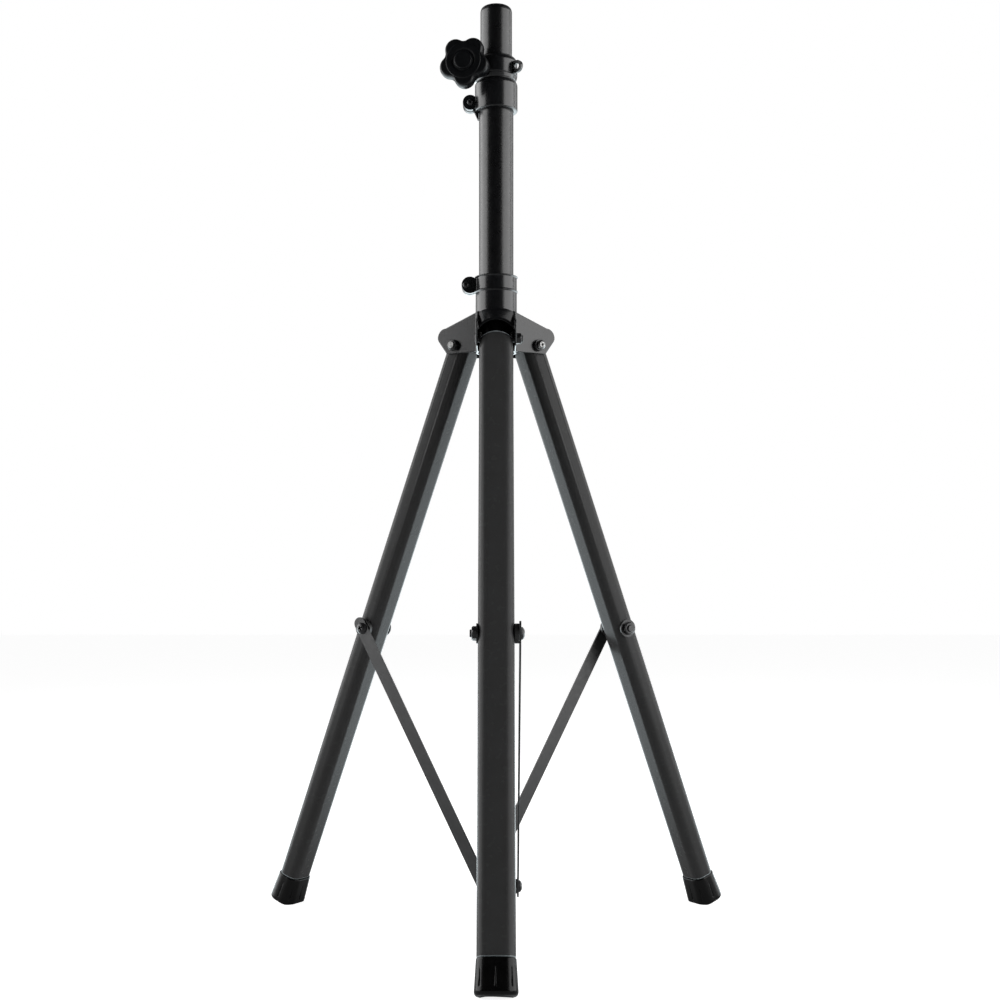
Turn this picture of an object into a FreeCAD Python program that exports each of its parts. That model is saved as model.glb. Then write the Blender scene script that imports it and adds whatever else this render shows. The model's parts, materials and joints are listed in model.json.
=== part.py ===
# Tripod stand for a loudspeaker: telescopic mast with a 35 mm pole, standing open with the
# pole at its lowest. Millimetres, +Z up. The origin is on the floor under the mast's axis,
# and the front leg points along -Y. Every driving size is a cell of the sheet "Dims": an
# expression below names the cells, and ex() adds the sheet's name to each.
import FreeCAD, Part
import math
import os
import re

import Sketcher
from FreeCAD import Placement, Rotation, Vector

DIMENSIONS = {
    # pole: the upper, sliding tube of the mast
    "pole_radius": 17.5,
    "pole_wall": 1.5,
    "pole_low_z": 104.0,
    "pole_top_z": 1013.0,
    "pole_mark_z": 962.3,
    "pole_mark_width": 1.0,
    "pole_mark_depth": 0.3,
    "cap_top_z": 1018.6,
    "cap_round": 5.4,
    # outer tube of the mast
    "tube_radius": 19.05,
    "tube_wall": 1.15,
    "tube_low_z": 62.0,
    "tube_top_z": 935.5,
    # clearances
    "seat_gap": 0.05,
    "run_gap": 0.06,
    # base plug with its three brace bosses
    "base_low_z": 30.0,
    "base_radius": 20.0,
    "spigot_top_z": 92.0,
    "rivet_z": 77.0,
    "rivet_radius": 2.4,
    "brace_foot_z": 47.0,
    "boss_radius": 8.0,
    "boss_face": 22.95,
    # legs
    "pivot_reach": 41.5,
    "pivot_height": 645.5,
    "leg_angle": 21.2,
    "leg_width": 36.6,
    "leg_depth": 26.2,
    "leg_corner": 10.5,
    "leg_wall": 1.5,
    "leg_length": 655.0,
    "leg_top_rise": 7.0,
    "leg_arch": 25.0,
    "leg_ear": 7.6,
    "knee_down": 337.5,
    # rubber feet
    "foot_width": 37.4,
    "foot_depth": 30.0,
    "foot_corner": 11.5,
    "foot_height": 34.0,
    "foot_flare": 3.4,
    "foot_round": 4.5,
    "foot_spigot": 30.0,
    # braces and the bolts at their upper ends
    "brace_width": 14.6,
    "brace_thick": 2.0,
    "brace_offset": 23.0,
    "brace_end": 13.5,
    "bolt_radius": 4.0,
    "spacer_radius": 10.0,
    "head_radius": 6.5,
    "head_height": 3.4,
    "washer_radius": 10.2,
    "washer_thick": 1.5,
    "nut_flats": 13.0,
    "nut_height": 6.2,
    # hub
    "hub_bore": 20.0,
    "hub_radius": 22.8,
    "hub_top_z": 720.5,
    "hub_low_z": 636.5,
    "hub_rim": 1.1,
    "band_low_z": 703.0,
    "arm_inner": 19.9,
    "arm_wall": 1.8,
    "arm_slope": 20.0,
    "arm_root_z": 684.4,
    "arm_foot_reach": 51.0,
    "tip_low_reach": 62.0,
    "tip_low_z": 651.5,
    "tip_top_reach": 52.5,
    "tip_round": 10.0,
    "hood_reach": 44.0,
    "hood_slope": 33.0,
    "hood_root_z": 697.3,
    "hood_radius": 27.5,
    "hood_thick": 2.5,
    "hood_lap": 0.9,
    "hood_clear": 7.0,
    "open_gap": 1.3,
    "pivot_flats": 11.0,
    "pivot_nut_height": 5.6,
    # split clamp ears of the hub and of the collar's sleeve
    "ear_half": 7.5,
    "ear_slit": 2.0,
    "clamp_screw": 2.5,
    "clamp_head": 3.65,
    "hub_ear_reach": 29.0,
    "hub_ear_z": 710.8,
    "hub_ear_radius": 9.2,
    "hub_screw_reach": 33.4,
    "collar_ear_reach": 28.6,
    "collar_ear_z": 911.8,
    "collar_ear_radius": 8.3,
    # upper collar
    "collar_low_z": 903.0,
    "collar_radius": 23.6,
    "shoulder_z": 930.0,
    "seat_z": 936.0,
    "neck_radius": 21.2,
    "band_foot_z": 941.6,
    "collar_top_z": 961.6,
    "bush_wall": 1.2,
    "web_drop": 9.0,
    "web_thick": 5.0,
    # pole clamp on the collar, its knob and the lanyard eye
    "clamp_azimuth": 168.0,
    "clamp_reach": 28.8,
    "clamp_z": 950.0,
    "clamp_ear_half": 13.0,
    "clamp_ear_round": 7.5,
    "eye_azimuth": -40.0,
    "eye_reach": 30.2,
    "eye_z": 947.0,
    "eye_radius": 6.6,
    "eye_hole": 3.2,
    "eye_thick": 3.6,
    "knob_foot": 14.8,
    "knob_neck": 9.0,
    "knob_neck_height": 9.0,
    "knob_height": 25.0,
    "knob_radius": 28.2,
    "knob_valley": 22.5,
    "knob_lobe": 11.5,
    "knob_cap_radius": 9.4,
    "stud_radius": 4.0,
    "stud_gap": 0.4,
    "stud_inside": 15.0,
    "stud_tail": 21.0,
}

LEGS = {"front": -90.0, "right": 30.0, "left": 150.0}
X_AXIS, Y_AXIS, Z_AXIS = Vector(1, 0, 0), Vector(0, 1, 0), Vector(0, 0, 1)
Z_TO_Y = Rotation(X_AXIS, -90)
Z_TO_MINUS_Y = Rotation(X_AXIS, 90)

KNEE_REACH = "(pivot_reach + knee_down * sin(leg_angle))"
KNEE_RISE = "(pivot_height - knee_down * cos(leg_angle) - brace_foot_z)"
BRACE_SPAN = f"sqrt({KNEE_REACH} ^ 2 + {KNEE_RISE} ^ 2)"

DOC = FreeCAD.newDocument("speaker_stand")
NODES = []


# ---- sheet and expressions ---------------------------------------------------------


def write_sheet():
    sheet = DOC.addObject("Spreadsheet::Sheet", "Dims")
    for row, (name, size) in enumerate(DIMENSIONS.items(), start=1):
        sheet.set(f"A{row}", name)
        sheet.set(f"B{row}", str(size))
        sheet.setAlias(f"B{row}", name)
    DOC.recompute()
    return sheet


SHEET = write_sheet()


def ex(text):
    """The expression with the sheet's name before each cell's."""
    return re.sub(r"\b([a-z]+(?:_[a-z]+)+)\b", r"Dims.\1", text)


def value(text):
    """The expression's number as the sheet stands."""
    result = SHEET.evalExpression(ex(text))
    return float(getattr(result, "Value", result))


# ---- placements --------------------------------------------------------------------


def shift(x=0.0, y=0.0, z=0.0, turn=None):
    return Placement(Vector(x, y, z), turn or Rotation())


def around(azimuth):
    """Local X points outward at this azimuth and local Y counter-clockwise."""
    return shift(turn=Rotation(Z_AXIS, azimuth))


def leg_frame(azimuth):
    """Origin on the leg's hub pivot, Z up along the leg, Y along the pivot."""
    lean = Rotation(Y_AXIS, -value("leg_angle"))
    return around(azimuth) * shift(value("pivot_reach"), 0, value("pivot_height"), lean)


def brace_frame(azimuth):
    """Origin under the mast at the lower brace pivot, Z along the brace to the knee."""
    lean = math.degrees(math.atan2(value(KNEE_REACH), value(KNEE_RISE)))
    return around(azimuth) * shift(0, 0, value("brace_foot_z"), Rotation(Y_AXIS, lean))


def knob_frame():
    """Origin on the pole clamp's bolt at the slit, Z along the bolt towards the knob."""
    return around(value("clamp_azimuth")) * shift(value("clamp_reach"), 0, value("clamp_z"), Z_TO_Y)


# ---- sketches ----------------------------------------------------------------------


def new_sketch(owner, name, plane, offset="0", azimuth=0.0):
    """A sketch on an origin plane of the body, moved along the plane's normal, or with an
    XZ plane turned about the vertical."""
    sketch = owner.newObject("Sketcher::SketchObject", name)
    origin = next(f for f in owner.Origin.OriginFeatures if f.Role == plane)
    sketch.AttachmentSupport = [(origin, "")]
    sketch.MapMode = "FlatFace"
    sketch.AttachmentOffset = shift(turn=Rotation(Y_AXIS, azimuth))
    if offset != "0":
        sketch.setExpression("AttachmentOffset.Base.z", ex(offset))
    return sketch


def pin_point(sketch, edge, end, x, y):
    """Hold one point of an edge at sheet-driven coordinates."""
    for kind, text, axis in (("DistanceX", x, -2), ("DistanceY", y, -1)):
        if text == "0":
            sketch.addConstraint(Sketcher.Constraint("PointOnObject", edge, end, axis))
            continue
        rule = sketch.addConstraint(Sketcher.Constraint(kind, -1, 1, edge, end, value(text)))
        sketch.setExpression(f"Constraints[{rule}]", ex(text))


def pin_radius(sketch, edge, text):
    rule = sketch.addConstraint(Sketcher.Constraint("Radius", edge, value(text)))
    sketch.setExpression(f"Constraints[{rule}]", ex(text))


def add_arc(sketch, start, finish, radius):
    """The short arc from start to finish, bulging to the right of the way along."""
    chord = finish - start
    inset = math.sqrt(radius * radius - chord.Length**2 / 4)
    left = Vector(-chord.y, chord.x, 0).normalize()
    centre = (start + finish) * 0.5 + left * inset
    angles = [math.atan2(p.y - centre.y, p.x - centre.x) for p in (start, finish)]
    sketch.addGeometry(Part.ArcOfCircle(Part.Circle(centre, Z_AXIS, radius), *angles), False)


def outline(owner, name, plane, corners, arcs=None, offset="0", azimuth=0.0):
    """A closed sketch through (x, y) expressions, counter-clockwise. arcs gives the radius
    of an edge that bulges outward, by the number of the corner it leaves."""
    arcs = arcs or {}
    sketch = new_sketch(owner, name, plane, offset, azimuth)
    points = [Vector(value(x), value(y), 0) for x, y in corners]
    count = len(points)
    for i, point in enumerate(points):
        following = points[(i + 1) % count]
        if i in arcs:
            add_arc(sketch, point, following, value(arcs[i]))
        else:
            sketch.addGeometry(Part.LineSegment(point, following), False)
    for i in range(count):
        sketch.addConstraint(Sketcher.Constraint("Coincident", i, 2, (i + 1) % count, 1))
    for i, (x, y) in enumerate(corners):
        pin_point(sketch, i, 1, x, y)
    for i, radius in arcs.items():
        pin_radius(sketch, i, radius)
    return sketch


def circles(owner, name, plane, rounds, offset="0", azimuth=0.0):
    """A sketch of circles, each an (x, y, radius) of expressions."""
    sketch = new_sketch(owner, name, plane, offset, azimuth)
    for i, (x, y, radius) in enumerate(rounds):
        centre = Vector(value(x), value(y), 0)
        sketch.addGeometry(Part.Circle(centre, Z_AXIS, value(radius)), False)
        pin_point(sketch, i, 3, x, y)
        pin_radius(sketch, i, radius)
    return sketch


def box_corners(x_low, x_high, y_low, y_high):
    return [(x_low, y_low), (x_high, y_low), (x_high, y_high), (x_low, y_high)]


def rounded_corners(half_x, half_y, corner):
    """Corners and arcs of a rounded rectangle about the origin."""
    corners = []
    for side_x, side_y in ((1, -1), (1, 1), (-1, 1), (-1, -1)):
        along = (f"{side_x} * (({half_x}) - ({corner}))", f"{side_y} * ({half_y})")
        across = (f"{side_x} * ({half_x})", f"{side_y} * (({half_y}) - ({corner}))")
        corners += [along, across] if side_x * side_y < 0 else [across, along]
    return corners, {i: corner for i in (0, 2, 4, 6)}


# ---- features ----------------------------------------------------------------------


def new_body(name):
    return DOC.addObject("PartDesign::Body", name)


def pad(owner, name, profile, length, middle=False, back=False, taper=None):
    feature = owner.newObject("PartDesign::Pad", name)
    feature.Profile = profile
    feature.setExpression("Length", ex(length))
    feature.Midplane = middle
    feature.Reversed = back
    if taper:
        feature.setExpression("TaperAngle", ex(taper))
    return feature


def pocket(owner, name, profile, length=None, middle=False, back=False):
    """A cut of this length, or with none through everything, both ways."""
    DOC.recompute()
    before = owner.Shape.Volume
    feature = owner.newObject("PartDesign::Pocket", name)
    feature.Profile = profile
    feature.Midplane = middle or length is None
    feature.Reversed = back
    if length is None:
        feature.Type = "ThroughAll"
    else:
        feature.setExpression("Length", ex(length))
    DOC.recompute()
    if owner.Shape.Volume > before - 0.01:
        raise RuntimeError(f"{name} cuts nothing")
    return feature


def fillet(owner, name, radius, wanted):
    """Round the body's edges that wanted(edge) accepts."""
    DOC.recompute()
    base = owner.Tip
    picked = [f"Edge{i}" for i, edge in enumerate(base.Shape.Edges, start=1) if wanted(edge)]
    if not picked:
        raise RuntimeError(f"{name} finds no edge")
    feature = owner.newObject("PartDesign::Fillet", name)
    feature.Base = (base, picked)
    feature.setExpression("Radius", ex(radius))


def polar(owner, name, feature):
    """Three of a feature about the body's vertical."""
    DOC.recompute()
    pattern = owner.newObject("PartDesign::PolarPattern", name)
    pattern.Originals = [feature]
    axis = next(f for f in owner.Origin.OriginFeatures if f.Role == "Z_Axis")
    pattern.Axis = (axis, [""])
    pattern.Angle = 360
    pattern.Occurrences = 3
    owner.Tip = pattern


def turned(name, corners, arcs=None, where=None):
    """A body turned about its local Z, from its half profile in (radius, height)."""
    owner = new_body(name)
    profile = outline(owner, name + "_profile", "XZ_Plane", corners, arcs)
    turn = owner.newObject("PartDesign::Revolution", name + "_turn")
    turn.Profile = profile
    turn.ReferenceAxis = (profile, ["V_Axis"])
    turn.Angle = 360
    if where is not None:
        owner.Placement = where
    return owner


def ring(name, inner, outer, low, high, where=None):
    return turned(name, box_corners(inner, outer, low, high), where=where)


def combine(kind, name, base, tool):
    """Part::Cut or Part::Common of two objects."""
    result = DOC.addObject(f"Part::{kind}", name)
    result.Base = base
    result.Tool = tool
    return result


def fuse(name, members):
    result = DOC.addObject("Part::MultiFuse", name)
    result.Shapes = members
    result.Refine = True
    return result


def node(feature, label):
    """Name a finished sub-part and list it for export."""
    feature.Label = label
    NODES.append(feature)


def hex_nut(label, flats, height, bore, where, flange=None):
    """A hexagon nut from the frame's origin along its Z, on a round flange if one is given."""
    prism = DOC.addObject("Part::Prism", label + "_hex")
    prism.Polygon = 6
    prism.setExpression("Circumradius", ex(f"({flats}) / sqrt(3)"))
    prism.setExpression("Height", ex(height))
    corner = f"({flats}) / sqrt(3)"
    flat = f"({flats}) / 2"
    envelope = turned(
        label + "_envelope",
        [
            (bore, "0"),
            (corner, "0"),
            (corner, f"({height}) - 1.2"),
            (f"{flat} - 0.4", height),
            (bore, height),
        ],
    )
    nut = combine("Common", label + "_nut", prism, envelope)
    if flange:
        washer = ring(label + "_flange", bore, flange, "0", "washer_thick")
        nut = fuse(label + "_flanged", [nut, washer])
    nut.Placement = where
    node(nut, label)


def button_screw(label, length, shank, head, height, where):
    """A dome-headed screw. The frame's origin is under the head, with Z out of the head."""
    corners = [
        ("0", f"-({length})"),
        (f"{shank} - 0.4", f"-({length})"),
        (shank, f"-({length}) + 0.4"),
        (shank, "0"),
        (head, "0"),
        (head, f"({height}) * 0.3"),
        (f"({head}) * 0.45", height),
        ("0", height),
    ]
    return turned(label, corners, {5: f"({head}) * 1.05"}, where)


# ---- mast --------------------------------------------------------------------------


def drill_rivets(owner, prefix, plane):
    """Two rivet holes across the mast, left and right."""
    hole = circles(owner, prefix + "_circle", plane, [("0", "rivet_z", "rivet_radius + seat_gap")])
    pocket(owner, prefix + "_holes", hole)


def make_outer_tube():
    inner = "tube_radius - tube_wall"
    tube = ring("outer_tube_body", inner, "tube_radius", "tube_low_z", "tube_top_z")
    drill_rivets(tube, "tube_rivet", "YZ_Plane")
    node(tube, "outer_tube")


def make_base_plug():
    """A cast plug in the tube's lower end, with three bosses that the braces turn against.
    Each boss faces a quarter turn ahead of its leg, so the body is turned with a leg."""
    spigot = "tube_radius - tube_wall - seat_gap"
    plug = turned(
        "base_plug_body",
        [
            ("0", "base_low_z"),
            ("base_radius - 2", "base_low_z"),
            ("base_radius", "base_low_z + 2"),
            ("base_radius", "tube_low_z - seat_gap"),
            (spigot, "tube_low_z - seat_gap"),
            (spigot, "spigot_top_z - 1"),
            (f"{spigot} - 1", "spigot_top_z"),
            ("0", "spigot_top_z"),
        ],
        {1: "2"},
    )
    disc = circles(plug, "boss_disc", "XZ_Plane", [("0", "brace_foot_z", "boss_radius")])
    polar(plug, "bosses", pad(plug, "boss", disc, "boss_face", back=True))
    thread = "bolt_radius - 0.7 + seat_gap"
    drill = circles(plug, "boss_drill", "XZ_Plane", [("0", "brace_foot_z", thread)])
    polar(plug, "boss_bores", pocket(plug, "boss_bore", drill, "boss_face + 1"))
    drill_rivets(plug, "plug_rivet", "XZ_Plane")
    plug.Placement = around(LEGS["front"])
    node(plug, "base_plug")


def make_base_rivets():
    rivets = []
    for name, side in (("right", 0), ("left", 180)):
        out = Rotation(Y_AXIS, 90)
        where = around(side) * shift(value("tube_radius") + 0.15, 0, value("rivet_z"), out)
        rivets.append(button_screw(f"base_rivet_{name}", "8", "rivet_radius", "4", "1.1", where))
    group("base_rivets", rivets)


def make_base_screws():
    """Shoulder screws that the braces' lower eyes turn on."""
    screws = []
    for name, azimuth in LEGS.items():
        shoulder = "brace_thick + 2 * run_gap"
        corners = [
            ("0", "-15"),
            ("bolt_radius - 0.7", "-15"),
            ("bolt_radius - 0.7", "seat_gap"),
            ("bolt_radius", "seat_gap"),
            ("bolt_radius", shoulder),
            ("head_radius", shoulder),
            ("head_radius", f"{shoulder} + 1"),
            ("0.45 * head_radius", f"{shoulder} + head_height"),
            ("0", f"{shoulder} + head_height"),
        ]
        where = around(azimuth) * shift(0, value("boss_face"), value("brace_foot_z"), Z_TO_Y)
        screws.append(turned(f"base_screw_{name}", corners, {6: "head_radius"}, where))
    group("base_screws", screws)


def make_upper_collar():
    """The cast collar: a split sleeve on the outer tube, a shoulder over the tube's end, and
    a split band that grips the pole."""
    core = "pole_radius - 0.5"
    collar = turned(
        "upper_collar_body",
        [
            (core, "collar_low_z"),
            ("collar_radius - 1.6", "collar_low_z"),
            ("collar_radius", "collar_low_z + 1.6"),
            ("collar_radius", "shoulder_z"),
            ("neck_radius + 0.4", "seat_z - 0.7"),
            ("neck_radius", "seat_z - 0.4"),
            ("neck_radius", "seat_z + 0.4"),
            ("neck_radius + 0.6", "seat_z + 0.7"),
            ("collar_radius - 0.4", "band_foot_z - 1"),
            ("collar_radius - 0.9", "band_foot_z - 0.7"),
            ("collar_radius - 0.9", "band_foot_z - 0.1"),
            ("collar_radius - 0.2", "band_foot_z + 0.2"),
            ("collar_radius - 0.2", "collar_top_z - 6.5"),
            ("pole_radius + 2.6", "collar_top_z"),
            (core, "collar_top_z"),
        ],
        {1: "1.6", 3: "7", 12: "7.5"},
    )
    disc = ("-collar_ear_reach", "collar_ear_z", "collar_ear_radius")
    ear = circles(collar, "ear_disc", "XZ_Plane", [disc])
    pad(collar, "ears", ear, "2 * ear_half", middle=True)
    web = outline(
        collar,
        "web_outline",
        "XZ_Plane",
        [
            ("-(tube_radius + 1.2)", "collar_low_z - web_drop"),
            ("-(tube_radius + 0.2)", "collar_low_z - web_drop"),
            ("-(tube_radius + 0.2)", "collar_low_z + 3"),
            ("-(collar_ear_reach + 2)", "collar_ear_z - 5"),
            ("-(collar_radius + 0.5)", "collar_low_z - 0.5"),
        ],
    )
    pad(collar, "web", web, "web_thick", middle=True)
    make_pole_clamp(collar)
    make_lanyard_eye(collar)
    bore_collar(collar)
    node(collar, "upper_collar")


def make_pole_clamp(collar):
    """Ears across the band's slit, and the hole for the knob's stud."""
    azimuth = value("clamp_azimuth")
    low, high = "clamp_z - clamp_ear_round", "clamp_z + clamp_ear_round"
    lug = outline(
        collar,
        "clamp_lug_outline",
        "XZ_Plane",
        box_corners("pole_radius + 1", "clamp_reach", low, high),
        azimuth=azimuth,
    )
    pad(collar, "clamp_lug", lug, "2 * clamp_ear_half", middle=True)
    disc = ("clamp_reach", "clamp_z", "clamp_ear_round")
    tip = circles(collar, "clamp_tip_disc", "XZ_Plane", [disc], azimuth=azimuth)
    pad(collar, "clamp_tip", tip, "2 * clamp_ear_half", middle=True)
    bore = ("clamp_reach", "clamp_z", "stud_radius + stud_gap")
    hole = circles(collar, "stud_circle", "XZ_Plane", [bore], azimuth=azimuth)
    pocket(collar, "stud_hole", hole)
    slit = outline(
        collar,
        "clamp_slit_outline",
        "XZ_Plane",
        box_corners("pole_radius - 1", "clamp_reach + 12", "seat_z + 0.3", "collar_top_z + 1"),
        azimuth=azimuth,
    )
    pocket(collar, "clamp_slit", slit, "ear_slit", middle=True)


def make_lanyard_eye(collar):
    """The eye that the safety pin's lanyard ties to."""
    azimuth = value("eye_azimuth")
    tab = outline(
        collar,
        "eye_tab_outline",
        "XZ_Plane",
        box_corners("collar_radius - 2", "eye_reach", "eye_z - eye_radius", "eye_z + eye_radius"),
        azimuth=azimuth,
    )
    pad(collar, "eye_tab", tab, "eye_thick", middle=True)
    rim = ("eye_reach", "eye_z", "eye_radius")
    disc = circles(collar, "eye_disc", "XZ_Plane", [rim], azimuth=azimuth)
    pad(collar, "eye_end", disc, "eye_thick", middle=True)
    bore = ("eye_reach", "eye_z", "eye_hole")
    hole = circles(collar, "eye_circle", "XZ_Plane", [bore], azimuth=azimuth)
    pocket(collar, "eye_bore", hole, "3 * eye_thick", middle=True)


def bore_collar(collar):
    """The seat on the tube, the seat of the pole's bush above it, and the sleeve's slit."""
    spot = ("0", "0", "tube_radius + seat_gap")
    tube = circles(collar, "tube_seat_circle", "XY_Plane", [spot], "seat_z")
    pocket(collar, "tube_seat", tube, "seat_z - collar_low_z + web_drop + 1")
    spot = ("0", "0", "pole_radius + run_gap + bush_wall + seat_gap")
    bush = circles(collar, "bush_seat_circle", "XY_Plane", [spot], "seat_z")
    pocket(collar, "bush_seat", bush, "collar_top_z - seat_z + 1", back=True)
    spot = ("-collar_ear_reach", "collar_ear_z", "clamp_screw + seat_gap")
    screw = circles(collar, "ear_screw_circle", "XZ_Plane", [spot])
    pocket(collar, "ear_screw_hole", screw, "4 * ear_half", middle=True)
    slit = outline(
        collar,
        "sleeve_slit_outline",
        "XZ_Plane",
        box_corners(
            "-(collar_ear_reach + 12)", "-(tube_radius - 1)", "collar_low_z - web_drop - 1", "seat_z - 3"
        ),
    )
    pocket(collar, "sleeve_slit", slit, "ear_slit", middle=True)


def make_clamp_screw(prefix, reach, height):
    """The screw and nut that close a pair of split ears."""
    face = value("ear_half") + value("seat_gap")
    place = Vector(-value(reach), 0, value(height))
    front = Placement(place + Vector(0, -face, 0), Z_TO_MINUS_Y)
    length = "2 * ear_half + 4"
    label = prefix + "_bolt"
    node(button_screw(label, length, "clamp_screw", "clamp_head", "2.2", front), label)
    rear = Placement(place + Vector(0, face, 0), Z_TO_Y)
    hex_nut(prefix + "_nut", "7", "3.2", "clamp_screw + seat_gap", rear)


def make_clamp_bush():
    inner = "pole_radius + run_gap"
    outer = f"{inner} + bush_wall"
    node(ring("clamp_bush_body", inner, outer, "seat_z + seat_gap", "collar_top_z"), "clamp_bush")


def make_clamp_hardware():
    """The captive nut behind the clamp's ears and the washer under the knob."""
    face = "clamp_ear_half + seat_gap"
    rear = knob_frame() * shift(z=-value(face), turn=Rotation(X_AXIS, 180))
    hex_nut("clamp_nut", "nut_flats", "nut_height", "stud_radius + run_gap", rear)
    bore = "stud_radius + stud_gap"
    top = "knob_foot - run_gap"
    washer = ring("clamp_washer_body", bore, "knob_neck - 0.4", face, top, knob_frame())
    node(washer, "clamp_washer")


# ---- knob --------------------------------------------------------------------------


def make_knob():
    """A five-lobed knob: the prism of its plan, inside the turned shape of its side."""
    plan = new_body("knob_plan")
    core = circles(plan, "knob_core_circle", "XY_Plane", [("0", "0", "knob_valley")])
    pad(plan, "knob_core", core, "knob_height")
    for i in range(5):
        bearing = 90 + 72 * i
        reach = "(knob_radius - knob_lobe)"
        spot = (f"{reach} * cos({bearing})", f"{reach} * sin({bearing})", "knob_lobe")
        lobe = circles(plan, f"knob_lobe_circle_{i}", "XY_Plane", [spot])
        pad(plan, f"knob_lobe_pad_{i}", lobe, "knob_height")
    side = turned(
        "knob_side",
        [
            ("0", "stud_inside"),
            ("stud_radius + seat_gap", "stud_inside"),
            ("stud_radius + seat_gap", "0"),
            ("knob_neck", "0"),
            ("knob_neck", "knob_neck_height"),
            ("knob_radius - 3.5", "knob_neck_height"),
            ("knob_radius", "knob_neck_height + 3"),
            ("knob_radius", "knob_height - 7.5"),
            ("knob_radius - 4.5", "knob_height - 1.8"),
            ("knob_cap_radius + seat_gap", "knob_height - 0.4"),
            ("knob_cap_radius + seat_gap", "knob_height - 2"),
            ("0", "knob_height - 2"),
        ],
    )
    knob = combine("Common", "knob_shape", plan, side)
    knob.Placement = knob_frame() * shift(z=value("knob_foot"))
    node(knob, "knob_body")


def make_knob_cap():
    cap = turned(
        "knob_cap_body",
        [
            ("0", "knob_height - 2 + seat_gap"),
            ("knob_cap_radius", "knob_height - 2 + seat_gap"),
            ("knob_cap_radius", "knob_height - 0.5"),
            ("knob_cap_radius - 0.5", "knob_height"),
            ("0", "knob_height"),
        ],
        where=knob_frame() * shift(z=value("knob_foot")),
    )
    node(cap, "knob_cap")


def make_knob_stud():
    stud = turned(
        "knob_stud_body",
        [
            ("0", "-stud_tail"),
            ("stud_radius - 0.8", "-stud_tail"),
            ("stud_radius", "-stud_tail + 0.8"),
            ("stud_radius", "knob_foot + stud_inside - seat_gap"),
            ("0", "knob_foot + stud_inside - seat_gap"),
        ],
        where=knob_frame(),
    )
    node(stud, "knob_stud")


# ---- pole --------------------------------------------------------------------------


def make_inner_tube():
    inner = "pole_radius - pole_wall"
    mark = "pole_radius - pole_mark_depth"
    tube = turned(
        "inner_tube_body",
        [
            (inner, "pole_low_z"),
            ("pole_radius", "pole_low_z"),
            ("pole_radius", "pole_mark_z"),
            (mark, "pole_mark_z"),
            (mark, "pole_mark_z + pole_mark_width"),
            ("pole_radius", "pole_mark_z + pole_mark_width"),
            ("pole_radius", "pole_top_z"),
            (inner, "pole_top_z"),
        ],
    )
    node(tube, "inner_tube")


def make_pole_ends():
    """The rounded cap on the pole and the guide bush at its foot."""
    plug = "pole_radius - pole_wall - seat_gap"
    rim = "pole_radius - 0.1"
    cap = turned(
        "pole_cap_body",
        [
            ("0", "pole_top_z - 20"),
            (f"{plug} - 1", "pole_top_z - 20"),
            (plug, "pole_top_z - 19"),
            (plug, "pole_top_z + seat_gap"),
            (rim, "pole_top_z + seat_gap"),
            (rim, "cap_top_z - cap_round"),
            (f"{rim} - cap_round", "cap_top_z"),
            ("0", "cap_top_z"),
        ],
        {5: "cap_round"},
    )
    node(cap, "pole_cap")
    guide = "tube_radius - tube_wall - run_gap"
    bush = turned(
        "guide_bush_body",
        [
            (f"{plug} - 3", "pole_low_z - 8"),
            (f"{guide} - 1", "pole_low_z - 8"),
            (guide, "pole_low_z - 7"),
            (guide, "pole_low_z - seat_gap"),
            (plug, "pole_low_z - seat_gap"),
            (plug, "pole_low_z + 20"),
            (f"{plug} - 3", "pole_low_z + 20"),
        ],
    )
    node(bush, "pole_guide_bush")


# ---- hub ---------------------------------------------------------------------------


def sloping_arch(name, half_width, radius, root):
    """A prism under an arched top, sloping down outward from this height on the axis."""
    prism = new_body(name)
    spring = f"sqrt(({radius}) ^ 2 - ({half_width}) ^ 2) - ({radius})"
    section = outline(
        prism,
        name + "_section",
        "YZ_Plane",
        box_corners(f"-({half_width})", half_width, "-90", spring),
        {2: radius},
    )
    pad(prism, name + "_pad", section, "90")
    prism.Placement = shift(z=value(root), turn=Rotation(Y_AXIS, value("hood_slope")))
    return prism


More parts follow.
